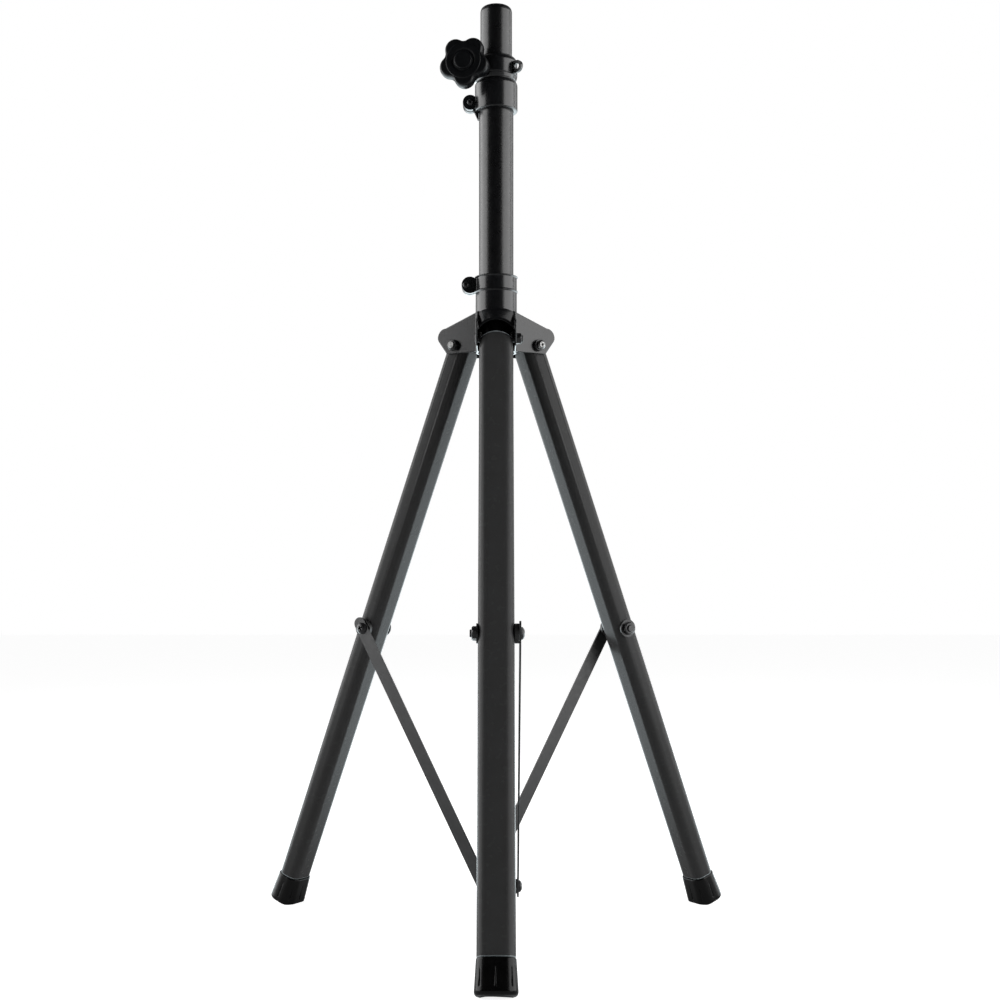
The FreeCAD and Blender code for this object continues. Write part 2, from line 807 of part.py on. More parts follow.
def hub_arm(name, azimuth):
    """One clevis: two cheeks with an arched hood between them, which ends above the pivot."""
    cheeks = new_body(f"hub_cheeks_{name}")
    side = outline(
        cheeks,
        f"hub_cheek_side_{name}",
        "XZ_Plane",
        [
            ("hub_bore / 2", "hub_low_z"),
            ("arm_foot_reach", "hub_low_z"),
            ("tip_low_reach", "tip_low_z"),
            ("tip_top_reach", "arm_root_z - tip_top_reach * tan(arm_slope)"),
            ("hub_bore / 2", "arm_root_z - hub_bore / 2 * tan(arm_slope)"),
        ],
        {2: "tip_round"},
    )
    pad(cheeks, f"hub_cheek_pad_{name}", side, "2 * (arm_inner + arm_wall)", middle=True)
    channel = outline(
        cheeks, f"hub_channel_{name}", "XY_Plane", box_corners("-1", "80", "-arm_inner", "arm_inner")
    )
    pocket(cheeks, f"hub_channel_cut_{name}", channel)
    spot = ("pivot_reach", "pivot_height", "bolt_radius + seat_gap")
    pin = circles(cheeks, f"hub_pin_circle_{name}", "XZ_Plane", [spot])
    pocket(cheeks, f"hub_pin_holes_{name}", pin)

    half = "(arm_inner + hood_lap)"
    reach = new_body(f"hub_hood_reach_{name}")
    plan = outline(
        reach,
        f"hub_hood_plan_{name}",
        "XY_Plane",
        box_corners("hub_bore / 2", "hood_reach", f"-{half}", half),
        offset="pivot_height + hood_clear",
    )
    pad(reach, f"hub_hood_block_{name}", plan, "hub_top_z - pivot_height - hood_clear")
    outside = sloping_arch(f"hub_hood_top_{name}", half, "hood_radius", "hood_root_z")
    crown = "hood_root_z - hood_thick / cos(hood_slope)"
    inside = sloping_arch(f"hub_vault_{name}", "arm_inner", "hood_radius - hood_thick", crown)
    hood = combine("Common", f"hub_hood_solid_{name}", reach, outside)
    shell = combine("Cut", f"hub_hood_{name}", hood, inside)
    clevis = fuse(f"hub_clevis_{name}", [cheeks, shell])
    clevis.Placement = around(azimuth)
    return clevis


def make_hub():
    """The sliding hub: a barrel with a split clamp band on top and three clevises."""
    barrel = turned(
        "hub_barrel",
        [
            ("hub_bore - 1", "hub_low_z"),
            ("hub_radius", "hub_low_z"),
            ("hub_radius", "band_low_z"),
            ("hub_radius + hub_rim", "band_low_z + 0.3"),
            ("hub_radius + hub_rim", "band_low_z + 1.2"),
            ("hub_radius", "band_low_z + 1.5"),
            ("hub_radius", "hub_top_z - 1.5"),
            ("hub_radius + hub_rim", "hub_top_z - 1.2"),
            ("hub_radius + hub_rim", "hub_top_z - 0.3"),
            ("hub_radius + 0.4", "hub_top_z"),
            ("hub_bore - 1", "hub_top_z"),
        ],
    )
    ear = circles(barrel, "hub_ear_disc", "XZ_Plane", [("-hub_ear_reach", "hub_ear_z", "hub_ear_radius")])
    pad(barrel, "hub_ears", ear, "2 * ear_half", middle=True)
    arms = [hub_arm(name, azimuth) for name, azimuth in LEGS.items()]
    casting = fuse("hub_blank", [barrel] + arms)
    bore = ring("hub_bore_tool", "0", "hub_bore", "hub_low_z - 5", "hub_top_z + 5")
    bored = combine("Cut", "hub_bored", casting, bore)
    slit = new_body("hub_slit_tool")
    plan = outline(
        slit,
        "hub_slit_outline",
        "XZ_Plane",
        box_corners("-(hub_ear_reach + 12)", "-(hub_bore - 2)", "hood_root_z - 6", "hub_top_z + 1"),
    )
    pad(slit, "hub_slit", plan, "ear_slit", middle=True)
    split = combine("Cut", "hub_split", bored, slit)
    drill = new_body("hub_screw_tool")
    spot = ("-hub_screw_reach", "hub_ear_z", "clamp_screw + seat_gap")
    circle = circles(drill, "hub_screw_circle", "XZ_Plane", [spot])
    pad(drill, "hub_screw_hole", circle, "4 * ear_half", middle=True)
    node(combine("Cut", "hub_drilled", split, drill), "hub_casting")


def make_leg_pivot(name, azimuth):
    """The bolt that a leg's top turns on. The front leg's head is a thin flat one."""
    face = value("arm_inner + arm_wall + seat_gap")
    pivot = around(azimuth) * shift(value("pivot_reach"), 0, value("pivot_height"))
    length = "2 * (arm_inner + arm_wall + seat_gap) + pivot_nut_height + 1.6"
    head = pivot * shift(y=-face, turn=Z_TO_MINUS_Y)
    label = f"leg_pivot_bolt_{name}"
    if name == "front":
        bolt = button_screw(label, length, "bolt_radius - seat_gap", "5.5", "1.2", head)
    else:
        bolt = turned(
            label,
            [
                ("0", f"-({length})"),
                ("bolt_radius - 0.6", f"-({length})"),
                ("bolt_radius - seat_gap", f"-({length}) + 0.6"),
                ("bolt_radius - seat_gap", "0"),
                ("head_radius", "0"),
                ("head_radius", "4.5"),
                ("4.85", "4.5"),
                ("4.85", "7"),
                ("3", "8.2"),
                ("0", "8.2"),
            ],
            where=head,
        )
    node(bolt, label)
    tail = pivot * shift(y=face, turn=Z_TO_Y)
    hex_nut(f"leg_pivot_nut_{name}", "pivot_flats", "pivot_nut_height", "bolt_radius", tail)


# ---- legs --------------------------------------------------------------------------


def make_leg_tube(name, azimuth):
    """A flattened tube whose top end is cut level and arched, but for an ear round each of
    its pivot holes. The holes of the side legs' hub pivots are wide, because a fold moves
    those two pivots a little against the hub."""
    leg = new_body(f"leg_tube_body_{name}")
    corners, arcs = rounded_corners("leg_depth / 2", "leg_width / 2", "leg_corner")
    outer = outline(leg, f"leg_outer_{name}", "XY_Plane", corners, arcs, "-leg_length")
    pad(leg, f"leg_pad_{name}", outer, "leg_length + 20")
    inside = ("leg_depth / 2 - leg_wall", "leg_width / 2 - leg_wall", "leg_corner - leg_wall")
    corners, arcs = rounded_corners(*inside)
    inner = outline(leg, f"leg_inner_{name}", "XY_Plane", corners, arcs, "-leg_length")
    pocket(leg, f"leg_hollow_{name}", inner)
    slack = "seat_gap" if name == "front" else "open_gap"
    spot = ("0", "0", f"bolt_radius + {slack}")
    pivot = circles(leg, f"leg_pivot_circle_{name}", "XZ_Plane", [spot])
    pocket(leg, f"leg_pivot_hole_{name}", pivot)
    spot = ("0", "-knee_down", "bolt_radius + seat_gap")
    knee = circles(leg, f"leg_knee_circle_{name}", "XZ_Plane", [spot])
    pocket(leg, f"leg_knee_hole_{name}", knee)
    arch = new_body(f"leg_arch_body_{name}")
    side = "leg_top_rise - leg_arch + sqrt(leg_arch ^ 2 - leg_width ^ 2 / 4)"
    section = outline(
        arch,
        f"leg_arch_section_{name}",
        "YZ_Plane",
        box_corners("-leg_width / 2", "leg_width / 2", "-leg_length", side),
        {2: "leg_arch"},
    )
    pad(arch, f"leg_arch_pad_{name}", section, "leg_length", middle=True)
    arch.Placement = shift(turn=Rotation(Y_AXIS, value("leg_angle")))
    across = box_corners("0", "leg_ear", "-leg_width / 2", "leg_width / 2")
    ears = turned(f"leg_ears_{name}", across, where=shift(turn=Z_TO_Y))
    end = fuse(f"leg_end_{name}", [arch, ears])
    tube = combine("Common", f"leg_shape_{name}", leg, end)
    tube.Placement = leg_frame(azimuth)
    node(tube, f"leg_tube_{name}")


def make_leg_foot(name, azimuth):
    """A flared rubber foot plugged into the tube, with the patch it stands on cut level."""
    foot = new_body(f"leg_foot_body_{name}")
    corners, arcs = rounded_corners("foot_depth / 2", "foot_width / 2", "foot_corner")
    plane = "-(leg_length + seat_gap)"
    top = outline(foot, f"foot_top_{name}", "XY_Plane", corners, arcs, plane)
    pad(foot, f"foot_pad_{name}", top, "foot_height", back=True, taper="foot_flare")
    low = -value("leg_length + seat_gap + foot_height")

    def is_sole(edge):
        return all(abs(vertex.Point.z - low) < 0.01 for vertex in edge.Vertexes)

    fillet(foot, f"foot_round_{name}", "foot_round", is_sole)
    gap = "(leg_wall + seat_gap)"
    inside = (f"leg_depth / 2 - {gap}", f"leg_width / 2 - {gap}", f"leg_corner - {gap}")
    corners, arcs = rounded_corners(*inside)
    spigot = outline(foot, f"foot_spigot_{name}", "XY_Plane", corners, arcs, plane)
    pad(foot, f"foot_spigot_pad_{name}", spigot, "foot_spigot")
    floor = "(-pivot_height - ({x}) * sin(leg_angle)) / cos(leg_angle)"
    sole = outline(
        foot,
        f"foot_floor_{name}",
        "XZ_Plane",
        [("-40", "-760"), ("40", "-760"), ("40", floor.format(x="40")), ("-40", floor.format(x="-40"))],
    )
    pocket(foot, f"foot_floor_cut_{name}", sole)
    foot.Placement = leg_frame(azimuth)
    node(foot, f"leg_foot_{name}")


def make_knee(name, azimuth):
    """The spacer, bolt and nut that join a leg to its brace."""
    knee = leg_frame(azimuth) * shift(z=-value("knee_down"))
    side = "leg_width / 2 + seat_gap"
    spacer_end = "brace_offset - seat_gap"
    bore = "bolt_radius + seat_gap"
    along = knee * shift(turn=Z_TO_Y)
    spacer = ring(f"brace_spacer_body_{name}", bore, "spacer_radius", side, spacer_end, along)
    node(spacer, f"brace_spacer_{name}")
    head_plane = "brace_offset + brace_thick + run_gap"
    length = f"{head_plane} + leg_width / 2 + nut_height + washer_thick + 0.5"
    head = knee * shift(y=value(head_plane), turn=Z_TO_Y)
    label = f"brace_bolt_{name}"
    node(button_screw(label, length, "bolt_radius", "head_radius", "head_height", head), label)
    tail = knee * shift(y=-value(side), turn=Z_TO_MINUS_Y)
    hex_nut(f"brace_nut_{name}", "nut_flats", "nut_height", bore, tail, "washer_radius")


def make_brace(name, azimuth):
    """A flat bar with round ends and an eye at each."""
    bar = new_body(f"brace_body_{name}")
    start = "brace_end - brace_width / 2"
    plane = "-brace_offset"
    strip = outline(
        bar,
        f"brace_strip_{name}",
        "XZ_Plane",
        box_corners("-brace_width / 2", "brace_width / 2", f"-({start})", f"{BRACE_SPAN} + {start}"),
        offset=plane,
    )
    pad(bar, f"brace_strip_pad_{name}", strip, "brace_thick", back=True)
    ends = [("0", f"-({start})", "brace_width / 2"), ("0", f"{BRACE_SPAN} + {start}", "brace_width / 2")]
    round_ends = circles(bar, f"brace_ends_{name}", "XZ_Plane", ends, plane)
    pad(bar, f"brace_ends_pad_{name}", round_ends, "brace_thick", back=True)
    eyes = [("0", "0", "bolt_radius + run_gap"), ("0", BRACE_SPAN, "bolt_radius + run_gap")]
    holes = circles(bar, f"brace_eyes_{name}", "XZ_Plane", eyes)
    pocket(bar, f"brace_eye_holes_{name}", holes)
    bar.Placement = brace_frame(azimuth)
    node(bar, f"brace_{name}")


# ---- build -------------------------------------------------------------------------


def group(label, members):
    """Identical fasteners of one body, kept as separate solids in one node."""
    compound = DOC.addObject("Part::Compound", label + "_set")
    compound.Links = members
    node(compound, label)


def build():
    make_outer_tube()
    make_base_plug()
    make_base_rivets()
    make_base_screws()
    make_upper_collar()
    make_clamp_screw("collar_fixing", "collar_ear_reach", "collar_ear_z")
    make_clamp_bush()
    make_clamp_hardware()
    make_knob()
    make_knob_cap()
    make_knob_stud()
    make_inner_tube()
    make_pole_ends()
    make_hub()
    make_clamp_screw("hub_clamp", "hub_screw_reach", "hub_ear_z")
    for name, azimuth in LEGS.items():
        make_leg_pivot(name, azimuth)
        make_leg_tube(name, azimuth)
        make_leg_foot(name, azimuth)
        make_knee(name, azimuth)
        make_brace(name, azimuth)


def check():
    """Stop on any object that failed to compute, and on any sub-part that isn't sound."""
    DOC.recompute()
    for item in DOC.Objects:
        if "Invalid" in item.State or "Error" in item.State:
            raise RuntimeError(f"{item.Label} failed: {item.State}")
    for item in NODES:
        shape = item.Shape
        if shape.isNull() or not shape.isValid() or not shape.Solids:
            raise RuntimeError(f"{item.Label} has no valid solid")


def export():
    os.makedirs("parts", exist_ok=True)
    for item in NODES:
        item.Shape.exportStep(f"parts/{item.Label}.step")
        print(f"{item.Label}: {len(item.Shape.Solids)} solid, {item.Shape.Volume:.0f} mm3")


build()
check()
export()
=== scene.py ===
# Looks of the loudspeaker stand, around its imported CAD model. Metres, +Z up, front leg along -Y.
import json
import math

import bmesh
import bpy
from mathutils import Matrix, Vector


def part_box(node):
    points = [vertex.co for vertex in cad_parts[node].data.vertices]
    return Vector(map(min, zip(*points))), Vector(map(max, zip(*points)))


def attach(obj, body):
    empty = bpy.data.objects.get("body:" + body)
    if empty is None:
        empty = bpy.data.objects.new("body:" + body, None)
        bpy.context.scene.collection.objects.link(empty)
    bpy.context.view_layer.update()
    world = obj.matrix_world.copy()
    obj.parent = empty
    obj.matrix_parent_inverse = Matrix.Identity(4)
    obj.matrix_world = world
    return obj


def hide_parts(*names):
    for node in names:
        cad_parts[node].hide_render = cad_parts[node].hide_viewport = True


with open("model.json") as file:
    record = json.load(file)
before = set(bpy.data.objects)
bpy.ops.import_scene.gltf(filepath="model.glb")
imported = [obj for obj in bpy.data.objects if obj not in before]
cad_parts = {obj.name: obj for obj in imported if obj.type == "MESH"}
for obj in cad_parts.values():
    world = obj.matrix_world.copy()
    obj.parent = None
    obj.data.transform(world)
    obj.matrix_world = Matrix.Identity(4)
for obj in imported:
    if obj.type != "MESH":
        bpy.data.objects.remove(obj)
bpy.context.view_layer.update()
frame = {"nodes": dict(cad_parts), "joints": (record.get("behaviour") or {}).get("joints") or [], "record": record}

MM = 0.001
NODES = frame["nodes"]
RECORD = frame["record"]
JOINTS = {joint["name"]: joint for joint in frame["joints"]}
MOUNTS = {mount["name"]: mount for mount in RECORD["mounts"]}
BODY_OF = {node: body for body, nodes in RECORD["behaviour"]["bodies"].items() for node in nodes}
SLOT_OF = {part["node"]: part["material_slot"] for part in RECORD["subparts"]}
LEGS = {"front": -90.0, "right": 30.0, "left": 150.0}
UP = Vector((0, 0, 1))
# millimetres that the looks share with the CAD model
LEG_HALF_DEPTH, LEG_HALF_WIDTH, LEG_CORNER = 13.1, 18.3, 10.5
FOOT_HALF_DEPTH, FOOT_HALF_WIDTH, FOOT_CORNER = 15.0, 18.7, 11.5
FOOT_HEIGHT, FOOT_ROUND, FOOT_FLARE = 34.0, 4.5, math.tan(math.radians(3.4))
LOBES, LOBE_REACH, LOBE_RADIUS, KNOB_VALLEY = 5, 16.7, 11.5, 22.5
TUBE_WALL, POLE_WALL, MARK_WIDTH, MARK_DEPTH = 1.15, 1.5, 1.0, 0.3
SEAT_GAP = 0.05


# ---- looks -------------------------------------------------------------------------


def add_node(tree, kind, **settings):
    """A shader node, with inputs or properties set by name."""
    node = tree.nodes.new("ShaderNode" + kind)
    for name, setting in settings.items():
        if name in node.inputs:
            node.inputs[name].default_value = setting
        else:
            setattr(node, name, setting)
    return node


def noise(tree, coordinates, scale, detail=3.0, rough=0.5):
    texture = add_node(tree, "TexNoise", Scale=scale, Detail=detail, Roughness=rough)
    tree.links.new(coordinates, texture.inputs["Vector"])
    return texture.outputs["Fac"]


def remap(tree, source, low, high, start=0.3, stop=0.7):
    """Spread the middle of a noise between two values."""
    spread = add_node(tree, "MapRange")
    limits = {"From Min": start, "From Max": stop, "To Min": low, "To Max": high}
    for name, number in limits.items():
        spread.inputs[name].default_value = number
    tree.links.new(source, spread.inputs["Value"])
    return spread.outputs["Result"]


def two_tone(tree, source, dark, light, start=0.3, stop=0.7):
    ramp = add_node(tree, "ValToRGB")
    first, last = ramp.color_ramp.elements
    first.position, first.color = start, (*dark, 1)
    last.position, last.color = stop, (*light, 1)
    tree.links.new(source, ramp.inputs["Fac"])
    return ramp.outputs["Color"]


def make_look(name, dark, light, rough, grain, relief, mottle=60.0, metal=0.0, gloss=0.5, wear=0.0):
    """A moulded, cast or coated finish. dark and light are its colour's extremes over a mottle
    of this many cells a metre, rough its roughness range, grain the cells a metre of its
    relief and relief that relief's height in millimetres. wear lightens fine drawn scuffs."""
    look = bpy.data.materials.new(name)
    look.use_nodes = True
    tree = look.node_tree
    shader = tree.nodes["Principled BSDF"]
    shader.inputs["Metallic"].default_value = metal
    shader.inputs["Specular IOR Level"].default_value = gloss
    place = add_node(tree, "TexCoord").outputs["Object"]
    colour = two_tone(tree, noise(tree, place, mottle), dark, light)
    fine = noise(tree, place, grain, detail=2.0)
    if wear:
        drawn = add_node(tree, "Mapping")
        drawn.inputs["Scale"].default_value = (1.0, 1.0, 0.06)
        tree.links.new(place, drawn.inputs["Vector"])
        scuffs = noise(tree, drawn.outputs["Vector"], 700.0, detail=4.0, rough=0.7)
        amount = remap(tree, scuffs, 0.0, wear, start=0.62, stop=0.78)
        mix = add_node(tree, "Mix", data_type="RGBA", blend_type="MIX")
        tree.links.new(amount, mix.inputs["Factor"])
        tree.links.new(colour, mix.inputs["A"])
        mix.inputs["B"].default_value = (*(4 * part for part in light), 1)
        colour = mix.outputs["Result"]
    tree.links.new(colour, shader.inputs["Base Color"])
    tree.links.new(remap(tree, noise(tree, place, mottle * 3), *rough), shader.inputs["Roughness"])
    bump = add_node(tree, "Bump", Distance=relief * MM)
    tree.links.new(fine, bump.inputs["Height"])
    tree.links.new(bump.outputs["Normal"], shader.inputs["Normal"])
    return look


BLACK = (0.003, 0.003, 0.0035)
LOOKS = {
    "tube": make_look(
        "tube_coat_look", BLACK, (0.0046, 0.0047, 0.0053), (0.26, 0.32), 1600, 0.02, wear=0.02
    ),
    "leg": make_look(
        "leg_coat_look", (0.040,) * 3, (0.043, 0.0433, 0.044), (0.25, 0.28), 1600, 0.03,
        gloss=0.08, wear=0.02,
    ),
    "cast": make_look(
        "cast_look", (0.003, 0.0032, 0.0038), (0.008, 0.0084, 0.0095), (0.22, 0.27), 900, 0.03,
        mottle=260,
    ),
    "brace": make_look(
        "brace_look", (0.012, 0.0122, 0.013), (0.018, 0.0183, 0.0195), (0.34, 0.44), 1400, 0.05,
        wear=0.04,
    ),
    "rubber": make_look(
        "rubber_look", (0.002,) * 3, (0.0035,) * 3, (0.20, 0.27), 1500, 0.01,
        mottle=120, gloss=0.16,
    ),
    "knob": make_look(
        "knob_look", (0.002, 0.0024, 0.003), (0.0035, 0.004, 0.0048), (0.34, 0.42), 1900, 0.04,
        gloss=0.2,
    ),
    # painted highlight: this light grey stands in for the light caught by the broken edges of the leg tubes' cut
    # ends
    "rim": make_look("rim_look", (0.19, 0.22, 0.23), (0.34, 0.38, 0.39), (0.3, 0.45), 1500, 0.02),
    "steel": make_look(
        "steel_look", (0.10,) * 3, (0.26, 0.26, 0.255), (0.26, 0.4), 900, 0.02,
        mottle=400, metal=1.0,
    ),
    "bush": make_look("bush_look", (0.006,) * 3, (0.01,) * 3, (0.45, 0.6), 1200, 0.06),
    "zinc": make_look(
        "zinc_look", (0.38, 0.39, 0.40), (0.62, 0.62, 0.60), (0.22, 0.38), 900, 0.04,
        mottle=300, metal=1.0,
    ),
    "screw": make_look(
        "screw_look", (0.008,) * 3, (0.022, 0.022, 0.024), (0.24, 0.36), 900, 0.02,
        mottle=400, metal=0.3,
    ),
}
LOOK_OF_SLOT = {
    "foot_rubber": "rubber",
    "tube_coat": "tube",
    "brace_coat": "brace",
    "cast_coat": "cast",
    "knob_plastic": "knob",
    "bush_plastic": "bush",
    "zinc_steel": "zinc",
    "black_steel": "screw",
}


# ---- pieces ------------------------------------------------------------------------


def look_of(node):
    return LOOKS["leg" if node.startswith("leg_tube") else LOOK_OF_SLOT[SLOT_OF[node]]]


def add_piece(name, shape, nodes, crease=32.0):
    """A mesh piece in the place, body and slot of the CAD nodes it stands for."""
    mesh = bpy.data.meshes.new(name)
    bmesh.ops.recalc_face_normals(shape, faces=shape.faces)
    shape.to_mesh(mesh)
    shape.free()
    mesh.shade_smooth()
    mesh.set_sharp_from_angle(angle=math.radians(crease))
    mesh.materials.append(look_of(nodes[0]))
    piece = bpy.data.objects.new(name, mesh)
    bpy.context.scene.collection.objects.link(piece)
    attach(piece, BODY_OF[nodes[0]])
    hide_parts(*nodes)
    return piece


def cad_shape(node):
    """A welded copy of a CAD node's mesh with its flat faces joined."""
    shape = bmesh.new()
    shape.from_mesh(NODES[node].data)
    bmesh.ops.remove_doubles(shape, verts=shape.verts, dist=0.002 * MM)
    bmesh.ops.dissolve_limit(
        shape, angle_limit=math.radians(0.3), verts=shape.verts, edges=shape.edges
    )
    return shape


def break_edges(piece, width):
    """Round a piece's sharp edges over by this many millimetres."""
    bevel = piece.modifiers.new("edges", "BEVEL")
    bevel.width = width * MM
    bevel.segments = 2
    bevel.limit_method = "ANGLE"
    bevel.angle_limit = math.radians(30)
    bevel.harden_normals = True
    return bevel


def softened(node, edge):
    """The node's own shape with its edges broken by this many millimetres."""
    piece = add_piece(node + "_finish", cad_shape(node), [node])
    break_edges(piece, edge)
    return piece


def baked(piece):
    """Make a piece's modifiers part of its mesh."""
    graph = bpy.context.evaluated_depsgraph_get()
    mesh = bpy.data.meshes.new_from_object(piece.evaluated_get(graph))
    piece.modifiers.clear()
    piece.data = mesh


def cut_cross(piece, top, axis, reach):
    """Press a cross recess of this reach in millimetres into a screw's head."""
    arm = 0.26
    plan = [
        (arm, arm), (arm, 1), (-arm, 1), (-arm, arm), (-1, arm), (-1, -arm),
        (-arm, -arm), (-arm, -1), (arm, -1), (arm, -arm), (1, -arm), (1, arm),
    ]
    levels = ((-0.75 * reach, 0.45), (0.4 * reach, 1.15))
    rings = [[(x * reach * grow, y * reach * grow, z) for x, y in plan] for z, grow in levels]
    place = frame_at(top, axis) @ Matrix.Rotation(math.radians(20), 4, "Z")
    shape = loft(rings, place @ Matrix.Scale(MM, 4))
    bmesh.ops.recalc_face_normals(shape, faces=shape.faces)
    mesh = bpy.data.meshes.new("cutter")
    shape.to_mesh(mesh)
    shape.free()
    cutter = bpy.data.objects.new("cutter", mesh)
    bpy.context.scene.collection.objects.link(cutter)
    press = piece.modifiers.new("press", "BOOLEAN")
    press.operation = "DIFFERENCE"
    press.object = cutter
    bpy.context.view_layer.update()
    baked(piece)
    bpy.data.objects.remove(cutter)


def screw(node, edge, heads, reach, bright_past=None):
    """A screw with a cross in each head, given by a point under it and its axis. Further
    than bright_past millimetres along the axis the black finish gives way to bare steel."""
    piece = add_piece(node + "_finish", cad_shape(node), [node])
    for origin, axis in heads:
        _, top = span(node, origin, axis)
        cut_cross(piece, Vector(origin) + top * axis, axis, reach)
    if bright_past is not None:
        piece.data.materials.append(LOOKS["steel"])
        for face in piece.data.polygons:
            face.material_index = int(abs((face.center - origin).dot(axis)) > bright_past * MM)
    break_edges(piece, edge)
    return piece


def cast(node, voxel, passes):
    """The node's own shape as a casting, with every corner flowing into the next. voxel is
    the fineness of its skin in millimetres."""
    piece = add_piece(node + "_casting", cad_shape(node), [node], crease=80.0)
    skin = piece.modifiers.new("skin", "REMESH")
    skin.mode = "VOXEL"
    skin.voxel_size = voxel * MM
    skin.use_smooth_shade = True
    flow = piece.modifiers.new("flow", "SMOOTH")
    flow.factor = 0.5
    flow.iterations = passes
    return piece


def frame_at(origin, axis, up=UP):
    """Z along the axis and Y as near up as it can be."""
    z = Vector(axis).normalized()
    x = Vector(up).cross(z).normalized()
    return Matrix.Translation(origin) @ Matrix((x, z.cross(x), z)).transposed().to_4x4()


def leg_frame(azimuth):
    """Origin on a leg's hub pivot, Z up along the leg, Y along the pivot, X outward."""
    top, knee = (Vector(JOINTS[name]["pos_m"]) for name in ("front_leg_pivot", "front_knee"))
    front = frame_at(top, top - knee, up=(1, 0, 0))
    return Matrix.Rotation(math.radians(azimuth - LEGS["front"]), 4, "Z") @ front


def span(node, origin, axis):
    """How far a CAD node reaches along an axis: where it starts and where it ends."""
    along = [(vertex.co - Vector(origin)).dot(axis) for vertex in NODES[node].data.vertices]
    return min(along), max(along)


def loft(rings, place, closed=True):
    """A skin through rings of points, in the order given, with its ends closed to discs."""
    shape = bmesh.new()
    rows = [[shape.verts.new(place @ Vector(point)) for point in ring] for ring in rings]
    count = len(rows[0])
    for low, high in zip(rows, rows[1:]):
        for i in range(count):
            j = (i + 1) % count
            shape.faces.new((low[i], low[j], high[j], high[i]))
    if closed:
        shape.faces.new(rows[0])
        shape.faces.new(rows[-1])
    return shape


def turned(profile, place, count=128):
    """A closed shape turned about the place's Z from (radius, height) points."""
    rings = []
    for radius, height in profile:
        angles = (2 * math.pi * i / count for i in range(count))
        rings.append([(radius * math.cos(a), radius * math.sin(a), height) for a in angles])
    return loft(rings, place)


def quarter(x, y, radius, start, steps=6):
    """Points of a quarter circle about a centre, from this bearing in degrees, clockwise."""
    bearings = (math.radians(start - 90 * i / steps) for i in range(steps + 1))
    return [(x + radius * math.cos(b), y + radius * math.sin(b)) for b in bearings]


def knee_of(azimuth):
    turn = Matrix.Rotation(math.radians(azimuth - LEGS["front"]), 4, "Z")
    return turn @ Vector(JOINTS["front_knee"]["pos_m"])


def pivot_axis(azimuth):
    """The direction of a leg's pivots, counter-clockwise round the mast."""
    return (leg_frame(azimuth).to_3x3() @ Vector((0, 1, 0))).normalized()


def clamp_head(node):
    """The middle of a clamp screw and the direction of its head."""
    low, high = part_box(node)
    return (low + high) / 2, Vector((0, -1, 0))


# ---- mast and pole -----------------------------------------------------------------


def pipe_profile(inner, outer, low, high, edge):
    """Up the inside, over the rounded end, down the outside and round the lower end."""
    return [
        (inner, low + 2 * edge),
        (inner, high - edge),
        (inner + edge, high),
        *quarter(outer - edge, high - edge, edge, 90),
        (outer, (low + high) / 2),
        (outer, low + edge),
        (outer - edge, low),
        (inner + edge, low),
        (inner, low + edge),
    ]


def pipe(node, wall, edge=0.25 * MM):
    low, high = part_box(node)
    outer = high.x
    profile = pipe_profile(outer - wall, outer, low.z, high.z, edge)
    shape = turned(profile + profile[:1], Matrix())
    bmesh.ops.remove_doubles(shape, verts=shape.verts, dist=0.001 * MM)
    return shape


def make_mast():
    add_piece("outer_tube_finish", pipe("outer_tube", TUBE_WALL * MM), ["outer_tube"])
    cast("upper_collar", 0.3, 2)
    softened("base_plug", 0.5)
    softened("base_rivets", 0.2)
    softened("clamp_bush", 0.2)
    softened("clamp_nut", 0.3)
    softened("clamp_washer", 0.2)
    softened("collar_fixing_nut", 0.2)
    screw("collar_fixing_bolt", 0.15, [clamp_head("collar_fixing_bolt")], 1.9)
    foot = Vector(JOINTS["tripod_fold"]["pos_m"])
    screw("base_screws", 0.25, [(foot, pivot_axis(azimuth)) for azimuth in LEGS.values()], 3.2)


def make_pole():
    """The sliding tube with its witness groove, and the domed cap."""
    low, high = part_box("inner_tube")
    radius = high.x
    mount = MOUNTS["speaker_pole"]
    groove_top = mount["pos_m"][2] - mount["dims"]["length_mm"] * MM / 2
    groove_low = groove_top - MARK_WIDTH * MM
    depth, wall = MARK_DEPTH * MM, POLE_WALL * MM
    slope, edge = 0.2 * MM, 0.3 * MM
    profile = [
        (radius - wall, low.z),
        (radius, low.z),
        (radius, groove_low),
        (radius - depth, groove_low + slope),
        (radius - depth, groove_top - slope),
        (radius, groove_top),
        (radius, high.z - edge),
        (radius - edge, high.z),
        (radius - wall, high.z),
        (radius - wall, low.z),
    ]
    add_piece("inner_tube_finish", turned(profile, Matrix()), ["inner_tube"])
    softened("pole_cap", 0.1)
    softened("pole_guide_bush", 0.2)


# ---- knob --------------------------------------------------------------------------


def lobe_radius(angle):
    """The plan of the star knob in millimetres: round lobes melting into a round core."""
    sector = 2 * math.pi / LOBES
    off = (angle + math.pi / 2 + sector / 2) % sector - sector / 2
    side = LOBE_REACH * math.sin(off)
    tip = LOBE_REACH * math.cos(off) + math.sqrt(max(LOBE_RADIUS * LOBE_RADIUS - side * side, 0.0))
    melt = 1.6
    blend = max(melt - abs(tip - KNOB_VALLEY), 0.0) / melt
    return max(tip, KNOB_VALLEY) + blend * blend * melt / 4


